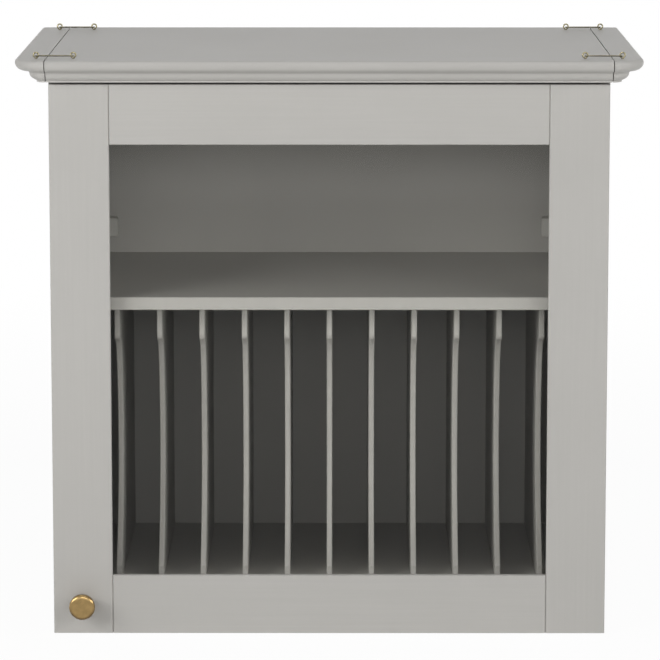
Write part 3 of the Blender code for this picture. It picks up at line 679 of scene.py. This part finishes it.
@dataclass(frozen=True)
class Screw:
    """A cross-head screw: a raised countersunk head, and a shank where one shows or is needed."""

    head_r: float = 3.4 * MM
    rise: float = 0.7 * MM
    sunk: float = 1.6 * MM
    rim: float = 0.15 * MM
    shank_r: float = 1.4 * MM
    shank_l: float = 0.0
    slot_w: float = 0.9 * MM
    slot_l: float = 3.6 * MM
    slot_d: float = 0.8 * MM
    crown_shares: tuple[float, ...] = (0.86, 0.66, 0.42, 0.18)
    crown_drop: float = 0.9
    edge_share: float = 0.1
    point_share: float = 0.6
    sides: int = 32

    def build(self, name: str, seat: Point, axis: Axis) -> bpy.types.Object:
        """Turn the head with its shank and cut the cross recess.

        Args:
            name: The screw's name.
            seat: The middle of the head, on the surface that it is sunk in.
            axis: The way that the head faces.

        Returns:
            The screw.
        """
        crown: list[Station] = [(self.head_r, -self.rim), (self.head_r, self.edge_share * self.rise)]
        for share in self.crown_shares:
            crown.append((self.head_r * share, self.rise * (1.0 - self.crown_drop * share * share)))
        shank: list[Station] = [(self.shank_r, -self.sunk)]
        if self.shank_l:
            tip = -self.sunk - self.shank_l
            point = self.point_share * self.shank_r
            shank = [(point, tip), (self.shank_r, tip + point)] + shank
        head = turned(name, shank + crown, seat, axis, self.sides)
        along = axis.vector
        top = Vector(seat) + along * self.rise
        for side in (along.orthogonal().normalized(), along.cross(along.orthogonal()).normalized()):
            other = along.cross(side)
            reach = side * self.slot_l / 2.0 + other * self.slot_w / 2.0 + along * self.slot_d
            reach = Vector([abs(part) for part in reach])
            cross = block("cross", tuple(top - reach), tuple(top + reach))
            combine(head, cross, "DIFFERENCE")
        return settle(head, name, CRISP_DEG)

    def repeat(self, names: Sequence[str], seats: Sequence[Point], axis: Axis) -> list[bpy.types.Object]:
        """Model one screw and copy it to the other seats.

        Args:
            names: A name for each screw.
            seats: Where each head sits.
            axis: The way that the heads face.

        Returns:
            The screws, in order.
        """
        first = self.build(names[0], seats[0], axis)
        others = zip(names[1:], seats[1:])
        return [first] + [copy_of(first, name, tuple(Vector(seat) - Vector(seats[0]))) for name, seat in others]


@dataclass
class Carcass:
    """Side panels, top, bottom, back and the rails and blocks behind."""

    finishes: Finishes
    boards: tuple[str, ...] = ("side_panel_left", "side_panel_right", "top_panel", "bottom_panel", "back_panel")
    rails: tuple[str, ...] = ("rear_rail_top", "rear_rail_bottom")
    blocks: tuple[str, ...] = ("corner_block_left", "corner_block_right")

    def dress(self) -> None:
        """Paint the boards and the timber behind them."""
        dress(self.boards, self.finishes.board)
        dress(self.rails, self.finishes.across)
        dress(self.blocks, self.finishes.pale)


@dataclass
class PlateRack:
    """Shelf, base board and the row of dividers."""

    finishes: Finishes
    divider_count: int = 11

    def dress(self) -> None:
        """Paint the shelf, the base and every divider."""
        dress(("shelf", "rack_base"), self.finishes.board)
        dress([f"plate_divider_{i:02d}" for i in range(1, self.divider_count + 1)], self.finishes.upright)


@dataclass
class Cornice:
    """Three moulded boards, and the brass connectors that tie them."""

    finishes: Finishes
    eye_r: float = 2.65 * MM
    wire_r: float = 0.85 * MM
    wrap_deg: float = 342.0
    collar_r: float = 1.7 * MM
    collar_t: float = 0.6 * MM
    collar_lift: float = 0.05 * MM
    collar_wall_share: float = 0.6
    collar_top_share: float = 0.8
    collar_end_share: float = 1.2
    point_l: float = 2.0 * MM
    point_share: float = 0.3
    ring_steps: int = 40
    bend_steps: int = 8
    wire_sides: int = 16
    shank_sides: int = 24
    rod_r: float = 0.8 * MM
    bend_r: float = 1.7 * MM
    tip_l: float = 0.4 * MM
    tip_share: float = 0.55

    def dress_boards(self) -> None:
        """Smooth the moulding of each board and paint it."""
        for node, paint in (("cornice_centre", self.finishes.across), ("cornice_end_left", self.finishes.deep),
                            ("cornice_end_right", self.finishes.deep)):
            fit_piece(refined(node), Body.CABINET, paint, (node,))

    def build_eye(self, name: str, centre: Vector, seat_z: float, shank_low: float) -> bpy.types.Object:
        """Model a screw eye: wire wrapped into a ring that faces the front, a collar and a pointed shank.

        Args:
            name: The eye's name.
            centre: The middle of the ring.
            seat_z: The height of the board's top.
            shank_low: The height of the shank's tip.

        Returns:
            The eye.
        """
        deselect()
        start = centre - Vector((0.0, 0.0, self.eye_r))
        bpy.ops.mesh.primitive_circle_add(vertices=self.wire_sides, radius=self.wire_r, fill_type="NGON",
                                          location=start, rotation=Axis.X.turn)
        ring = bpy.context.object
        bpy.ops.object.mode_set(mode="EDIT")
        bpy.ops.mesh.spin(steps=self.ring_steps, angle=math.radians(self.wrap_deg), center=centre,
                          axis=Axis.Y.value)
        settle(ring, name)
        foot = (centre.x, centre.y, seat_z)
        low = shank_low - seat_z
        stations = [(self.point_share * self.wire_r, low), (self.wire_r, low + self.point_l),
                    (self.wire_r, self.collar_lift), (self.collar_r, self.collar_lift),
                    (self.collar_r, self.collar_wall_share * self.collar_t),
                    (self.collar_top_share * self.collar_r, self.collar_t),
                    (self.wire_r, self.collar_end_share * self.collar_t),
                    (self.wire_r, centre.z - self.eye_r - seat_z)]
        shank = turned("shank", stations, foot, Axis.Z, self.shank_sides)
        return settle(combine(ring, shank, "UNION"), name, WIRE_DEG)

    def build_rod(self, name: str, low: Vector, high: Vector) -> bpy.types.Object:
        """Model a tie rod: a run in front of two eyes, an elbow at each end and a tail through each eye.

        Args:
            name: The rod's name.
            low: The lowest corner of the rod's solid.
            high: The highest corner.

        Returns:
            The rod.
        """
        left, right = low.x + self.rod_r, high.x - self.rod_r
        front, height = low.y + self.rod_r, (low.z + high.z) / 2.0
        tail = high.y - front - self.bend_r - self.tip_l
        run = right - left - 2.0 * self.bend_r
        deselect()
        bpy.ops.mesh.primitive_circle_add(vertices=self.wire_sides, radius=self.tip_share * self.rod_r,
                                          fill_type="NGON", location=(left, high.y, height),
                                          rotation=Axis.MINUS_Y.turn)
        rod = bpy.context.object
        bpy.ops.object.mode_set(mode="EDIT")
        at = Vector((left, high.y, height))
        wide = 1.0 / self.tip_share
        legs = ((Axis.MINUS_Y, self.tip_l, wide), (Axis.MINUS_Y, tail, 1.0), (Axis.X, run, 1.0),
                (Axis.Y, tail, 1.0), (Axis.Y, self.tip_l, self.tip_share))
        before = Axis.MINUS_Y
        for axis, length, share in legs:
            if axis is not before:
                centre = at + axis.vector * self.bend_r
                bpy.ops.mesh.spin(steps=self.bend_steps, angle=-math.pi / 2.0, center=centre, axis=Axis.Z.value)
                at += (axis.vector + before.vector) * self.bend_r
                before = axis
            at += axis.vector * length
            bpy.ops.mesh.extrude_region_move(TRANSFORM_OT_translate={"value": axis.vector * length})
            bpy.ops.transform.resize(value=(share, share, share), center_override=at)
        return settle(rod, name, WIRE_DEG)

    def build_connectors(self) -> None:
        """Model one eye and one rod, and copy them to each end of each joint."""
        seat_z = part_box("cornice_centre")[1].z
        ends = [f"{side}_{end}" for side in ("left", "right") for end in ("front", "back")]
        eyes = [f"screw_eye_{end}_{word}" for end in ends for word in ("inner", "outer")]
        rods = [f"tie_rod_{end}" for end in ends]
        low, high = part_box(eyes[0])
        middle = (low + high) / 2.0
        centre = Vector((middle.x, middle.y, high.z - self.eye_r - self.wire_r))
        eye = self.build_eye(eyes[0] + "_finish", centre, seat_z, low.z)
        rod = self.build_rod(rods[0] + "_finish", *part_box(rods[0]))
        for first, nodes, metal in ((eye, eyes, self.finishes.eye), (rod, rods, self.finishes.wire)):
            pieces = [first]
            for node in nodes[1:]:
                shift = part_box(node)[0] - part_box(nodes[0])[0]
                pieces.append(copy_of(first, node + "_finish", tuple(shift)))
            for piece, node in zip(pieces, nodes):
                fit_piece(piece, Body.CABINET, metal, (node,))


@dataclass
class Door:
    """Frame, pane, beads and bumpers."""

    finishes: Finishes
    bumper_ease_mm: float = 0.3

    def dress(self) -> None:
        """Paint the frame and the beads, and finish the pane and the bumpers."""
        dress(("door_stile_left", "door_stile_right", "glazing_bead_left", "glazing_bead_right"),
              self.finishes.upright)
        dress(("door_rail_top", "door_rail_bottom", "glazing_bead_top", "glazing_bead_bottom"),
              self.finishes.across)
        dress(("glass_pane",), self.finishes.glass)
        for node in ("door_bumper_bottom", "door_bumper_top"):
            fit_piece(refined(node, self.bumper_ease_mm), Body.DOOR, self.finishes.bumper, (node,))


@dataclass
class Knob:
    """Turned knob on the left stile, and the screw that holds it from behind."""

    finishes: Finishes
    base_r: float = 9.0 * MM
    base_t: float = 1.6 * MM
    foot_ease: float = 0.3 * MM
    base_ease: float = 0.4 * MM
    neck_r: float = 5.4 * MM
    cove_share: float = 0.4
    flare_share: float = 0.5
    flare_deg: Span = (75.0, 15.0)
    head_r: float = 14.0 * MM
    head_t: float = 6.0 * MM
    wall_share: float = 0.3
    edge_r: float = 3.2 * MM
    edge_deg: float = 80.0
    face_share: float = 0.85
    face_steps: tuple[float, ...] = (0.75, 0.5, 0.25, 0.05)
    face_rise: float = 0.3 * MM
    curve_steps: int = 8
    sides: int = 64
    screw_head_t: float = 2.4 * MM
    screw_rise: float = 0.6 * MM
    screw_rim_share: float = 1.2
    screw_r: float = 2.0 * MM

    def profile(self, reach: float) -> list[Station]:
        """Work out the turned profile.

        Args:
            reach: From the stile to the face of the knob.

        Returns:
            Radius and height of each ring.
        """
        head = reach - self.head_t - self.face_rise
        run = head - self.base_t
        steps = [i / self.curve_steps for i in range(self.curve_steps + 1)]
        rings: list[Station] = [(self.base_r - self.foot_ease, 0.0), (self.base_r, self.foot_ease),
                                (self.base_r, self.base_t - self.base_ease),
                                (self.base_r - self.base_ease, self.base_t)]
        waist = self.base_r - self.neck_r
        for step in steps[1:]:
            turn = 0.5 * math.pi * step
            rings.append((self.base_r - waist * math.sin(turn),
                          self.base_t + self.cove_share * run * (1.0 - math.cos(turn))))
        flare = self.head_r - self.neck_r
        first, last = self.flare_deg
        for step in steps:
            turn = math.radians(first + (last - first) * step)
            rings.append((self.neck_r + flare * math.cos(turn), head - self.flare_share * run * math.sin(turn)))
        rings.append((self.head_r, head + self.wall_share * self.head_t))
        for step in steps:
            turn = math.radians(self.edge_deg * step)
            rings.append((self.head_r - self.edge_r * (1.0 - math.cos(turn)),
                          head + self.head_t - self.edge_r * (1.0 - math.sin(turn))))
        for share in self.face_steps:
            rings.append((self.head_r * share * self.face_share,
                          head + self.head_t + self.face_rise * (1.0 - share * share)))
        return rings

    def build(self) -> None:
        """Turn the knob and model its screw."""
        low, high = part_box("knob")
        middle = (low + high) / 2.0
        foot = (middle.x, high.y, middle.z)
        knob = turned("knob_finish", self.profile(high.y - low.y), foot, Axis.MINUS_Y, self.sides)
        fit_piece(knob, Body.DOOR, self.finishes.knob, ("knob",))
        low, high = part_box("knob_screw")
        rise = self.screw_rise
        screw = Screw(head_r=(high.x - low.x) / 2.0, rise=rise, sunk=self.screw_head_t - rise,
                      rim=self.screw_head_t - self.screw_rim_share * rise, shank_r=self.screw_r,
                      shank_l=high.y - low.y - self.screw_head_t)
        made = screw.build("knob_screw_finish", (middle.x, high.y - rise, middle.z), Axis.Y)
        fit_piece(made, Body.DOOR, self.finishes.zinc, ("knob_screw",))


@dataclass
class Hinges:
    """Two brass hinges with their screws."""

    finishes: Finishes
    screw_up: float = 15.0 * MM
    screw_step: float = 11.0 * MM
    leaf_margin: float = 7.0 * MM

    def build(self) -> None:
        """Smooth the leaves and pins and fit the screws."""
        cabinet_seats: list[Point] = []
        door_seats: list[Point] = []
        for word in ("lower", "upper"):
            for part, body in (("cabinet_leaf", Body.CABINET), ("pin", Body.CABINET), ("door_leaf", Body.DOOR)):
                node = f"hinge_{word}_{part}"
                fit_piece(refined(node), body, self.finishes.brass, (node,))
            low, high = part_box(f"hinge_{word}_cabinet_leaf")
            middle_z = (low.z + high.z) / 2.0
            deep = high.y - self.leaf_margin
            for y, up in ((deep, -self.screw_up), (deep - self.screw_step, 0.0), (deep, self.screw_up)):
                cabinet_seats.append((low.x, y, middle_z + up))
            low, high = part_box(f"hinge_{word}_door_leaf")
            for up in (-self.screw_up, self.screw_up):
                door_seats.append((low.x + self.leaf_margin, high.y, middle_z + up))
        self.fit_screws("hinge_cabinet_screw", cabinet_seats, Axis.MINUS_X, Body.CABINET)
        self.fit_screws("hinge_door_screw", door_seats, Axis.Y, Body.DOOR)

    def fit_screws(self, name: str, seats: Sequence[Point], axis: Axis, body: Body) -> None:
        """Fit brass screws in one kind of leaf.

        Args:
            name: The name that the screws share.
            seats: Where each head sits.
            axis: The way that the heads face.
            body: The body that the leaves belong to.
        """
        names = [f"{name}_{i}" for i in range(1, len(seats) + 1)]
        for screw in Screw().repeat(names, seats, axis):
            fit_piece(screw, body, self.finishes.brass)


@dataclass
class Catch:
    """Magnetic catch on the side panel and its strike plate on the door."""

    finishes: Finishes
    mouth_margin: float = 3.5 * MM
    mouth_d: float = 2.0 * MM
    pole_t: float = 1.4 * MM
    pole_back: float = 0.3 * MM
    pole_clear: float = 0.05 * MM
    pole_ease_mm: float = 0.2
    body_ease_mm: float = 0.4
    plate_ease_mm: float = 0.25
    screw_from_end: float = 9.0 * MM
    body_screw: Screw = Screw(head_r=2.8 * MM)
    plate_screw: Screw = Screw(head_r=2.6 * MM, rise=0.2 * MM, sunk=1.0 * MM, slot_l=2.8 * MM, slot_d=0.5 * MM)

    def build_body(self) -> None:
        """Cut the mouth in the moulded body, and set two pole plates in it and two screws beside it."""
        low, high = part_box("magnetic_catch")
        margin = self.mouth_margin
        body = refined("magnetic_catch", self.body_ease_mm)
        near = (low.x + margin, low.y - self.mouth_d, low.z + margin)
        far = (high.x - margin, low.y + self.mouth_d, high.z - margin)
        settle(combine(body, block("mouth", near, far), "DIFFERENCE"), body.name, CRISP_DEG)
        fit_piece(body, Body.CABINET, self.finishes.plastic, ("magnetic_catch",))
        gap = self.pole_back
        for word, x in (("outer", near[0] + gap), ("inner", far[0] - gap - self.pole_t)):
            pole = block(f"catch_pole_{word}", (x, low.y + gap, near[2] + gap),
                         (x + self.pole_t, low.y + self.mouth_d - self.pole_clear, far[2] - gap))
            settle(soften(pole, self.pole_ease_mm), pole.name, CRISP_DEG)
            fit_piece(pole, Body.CABINET, self.finishes.zinc)
        y = (low.y + high.y) / 2.0
        seats = [(high.x, y, z) for z in (low.z + self.screw_from_end, high.z - self.screw_from_end)]
        for screw in self.body_screw.repeat(("catch_screw_1", "catch_screw_2"), seats, Axis.X):
            fit_piece(screw, Body.CABINET, self.finishes.zinc)

    def build_strike(self) -> None:
        """Ease the strike plate's edges and sink a screw in its middle."""
        low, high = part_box("catch_strike_plate")
        eased = refined("catch_strike_plate", self.plate_ease_mm)
        plate = settle(eased, "catch_strike_plate_finish", CRISP_DEG)
        fit_piece(plate, Body.DOOR, self.finishes.zinc, ("catch_strike_plate",))
        middle = (low + high) / 2.0
        made = self.plate_screw.build("catch_strike_screw", (middle.x, high.y, middle.z), Axis.Y)
        fit_piece(made, Body.DOOR, self.finishes.zinc)

    def build(self) -> None:
        """Build the catch and its plate."""
        self.build_body()
        self.build_strike()


@dataclass(frozen=True)
class Softbox:
    """A square studio lamp that faces the cabinet."""

    name: str
    place: Point
    width: float
    height: float
    power: float
    target: Point = (0.0, -0.35, -0.24)

    def hang(self) -> bpy.types.Object:
        """Add the lamp."""
        data = bpy.data.lights.new(self.name, "AREA")
        data.shape = "RECTANGLE"
        data.size = self.width
        data.size_y = self.height
        data.energy = self.power
        lamp = bpy.data.objects.new(self.name, data)
        lamp.location = self.place
        lamp.rotation_euler = (Vector(self.place) - Vector(self.target)).to_track_quat("Z", "Y").to_euler()
        bpy.context.scene.collection.objects.link(lamp)
        return lamp


@dataclass
class Studio:
    """Camera, lamps, white surroundings and a pale floor."""

    camera_place: Point = (0.010, -4.568, 0.466)
    camera_down: float = 0.16017
    camera_turn: float = 0.0022
    focal_pixels: float = 3945.0
    frame_pixels: float = 660.0
    sensor_mm: float = 36.0
    view_reach: float = 50.0
    ambient: float = 0.02
    floor_size: float = 8.0
    floor_gap: float = 0.3 * MM
    floor_white: float = 0.96
    floor_fade: Span = (0.7, 2.2)
    fibre_mm: float = 4.0
    paper: tuple[str, str] = ("f2f2f1", "f6f6f5")
    lamps: tuple[Softbox, ...] = (
        Softbox("softbox_left", (-1.578, -2.231, 0.603), 0.9, 0.9, 18.4),
        Softbox("softbox_far_left", (-2.125, -1.626, 0.463), 0.9, 0.9, 12.2),
        Softbox("softbox_right", (1.602, -2.259, 0.467), 0.9, 0.9, 13.1),
        Softbox("softbox_far_right", (2.324, -1.196, 0.563), 0.9, 0.9, 13.6),
        Softbox("softbox_front", (0.0, -4.9, 0.6), 3.4, 2.6, 23.5),
        Softbox("softbox_camera", (0.0, -4.9, 0.75), 1.4, 0.6, 16.5),
        Softbox("softbox_over", (0.0, -0.25, 2.4), 1.6, 1.2, 16.0),
        Softbox("softbox_rear", (0.0, 2.8, -0.1), 2.0, 0.8, 12.0),
    )

    def set_camera(self) -> None:
        """Place the camera where the photograph was taken."""
        data = bpy.data.cameras.new("studio_camera")
        data.sensor_width = self.sensor_mm
        data.lens = self.focal_pixels / self.frame_pixels * self.sensor_mm
        data.clip_end = self.view_reach
        camera = bpy.data.objects.new("studio_camera", data)
        camera.location = self.camera_place
        camera.rotation_euler = (math.pi / 2.0 - self.camera_down, 0.0, self.camera_turn)
        bpy.context.scene.collection.objects.link(camera)
        bpy.context.scene.camera = camera

    def set_world(self) -> None:
        """Show white to the camera, to mirrors and through glass, and light the rest softly."""
        world = bpy.data.worlds.new("white_studio")
        world.use_nodes = True
        tree = world.node_tree
        tree.nodes.clear()
        soft = add(tree, "ShaderNodeBackground", {"Color": linear(WHITE), "Strength": self.ambient})
        white = add(tree, "ShaderNodeBackground", {"Color": linear(WHITE), "Strength": 1.0})
        mixed = add(tree, "ShaderNodeMixShader", None,
                    {0: backdrop_rays(tree), 1: soft.outputs[0], 2: white.outputs[0]})
        add(tree, "ShaderNodeOutputWorld", None, {"Surface": mixed.outputs[0]})
        bpy.context.scene.world = world

    def floor_material(self) -> bpy.types.Material:
        """Make the floor: white paper that still takes the cabinet's shadow, and fades into the background."""
        material, tree = new_material("white_paper_floor")
        place = add(tree, "ShaderNodeTexCoord")
        reach = add(tree, "ShaderNodeVectorMath", {"operation": "LENGTH"}, {0: place.outputs["Object"]})
        near, far = self.floor_fade
        fade = add(tree, "ShaderNodeMapRange", {"From Min": near, "From Max": far, "To Min": self.floor_white},
                   {"Value": reach.outputs["Value"]})
        share = add(tree, "ShaderNodeMath", {"operation": "MULTIPLY"},
                    {0: fade.outputs[0], 1: backdrop_rays(tree)})
        fibre = add(tree, "ShaderNodeTexNoise", {"Scale": per_size(self.fibre_mm)},
                    {"Vector": place.outputs["Object"]})
        dark, pale = self.paper
        tone = add(tree, "ShaderNodeMix", {"data_type": "RGBA", 6: linear(dark), 7: linear(pale)},
                   {0: fibre.outputs[0]})
        paper = add(tree, "ShaderNodeBsdfDiffuse", None, {"Color": tone.outputs[2]})
        glow = add(tree, "ShaderNodeEmission", {"Color": linear(WHITE), "Strength": 1.0})
        mixed = add(tree, "ShaderNodeMixShader", None,
                    {0: share.outputs[0], 1: paper.outputs[0], 2: glow.outputs[0]})
        add(tree, "ShaderNodeOutputMaterial", None, {"Surface": mixed.outputs[0]})
        return material

    def lay_floor(self, height: float) -> None:
        """Lay the floor under the cabinet."""
        deselect()
        bpy.ops.mesh.primitive_plane_add(size=self.floor_size, location=(0.0, 0.0, height))
        floor = bpy.context.object
        floor.name = "studio_floor"
        paint_piece(floor, self.floor_material())

    def build(self) -> None:
        """Set up the whole studio."""
        bpy.context.scene.view_settings.view_transform = "Standard"
        self.set_camera()
        self.set_world()
        for lamp in self.lamps:
            lamp.hang()
        self.lay_floor(CAD_BOX[0][2] - self.floor_gap)


def main() -> None:
    """Build and dress the cabinet, piece by piece, in its studio."""
    logging.basicConfig(level=logging.INFO, format="%(message)s")
    finishes = Finishes()
    Carcass(finishes).dress()
    PlateRack(finishes).dress()
    cornice = Cornice(finishes)
    cornice.dress_boards()
    cornice.build_connectors()
    Door(finishes).dress()
    Knob(finishes).build()
    Hinges(finishes).build()
    Catch(finishes).build()
    Studio().build()


if __name__ == "__main__":
    main()
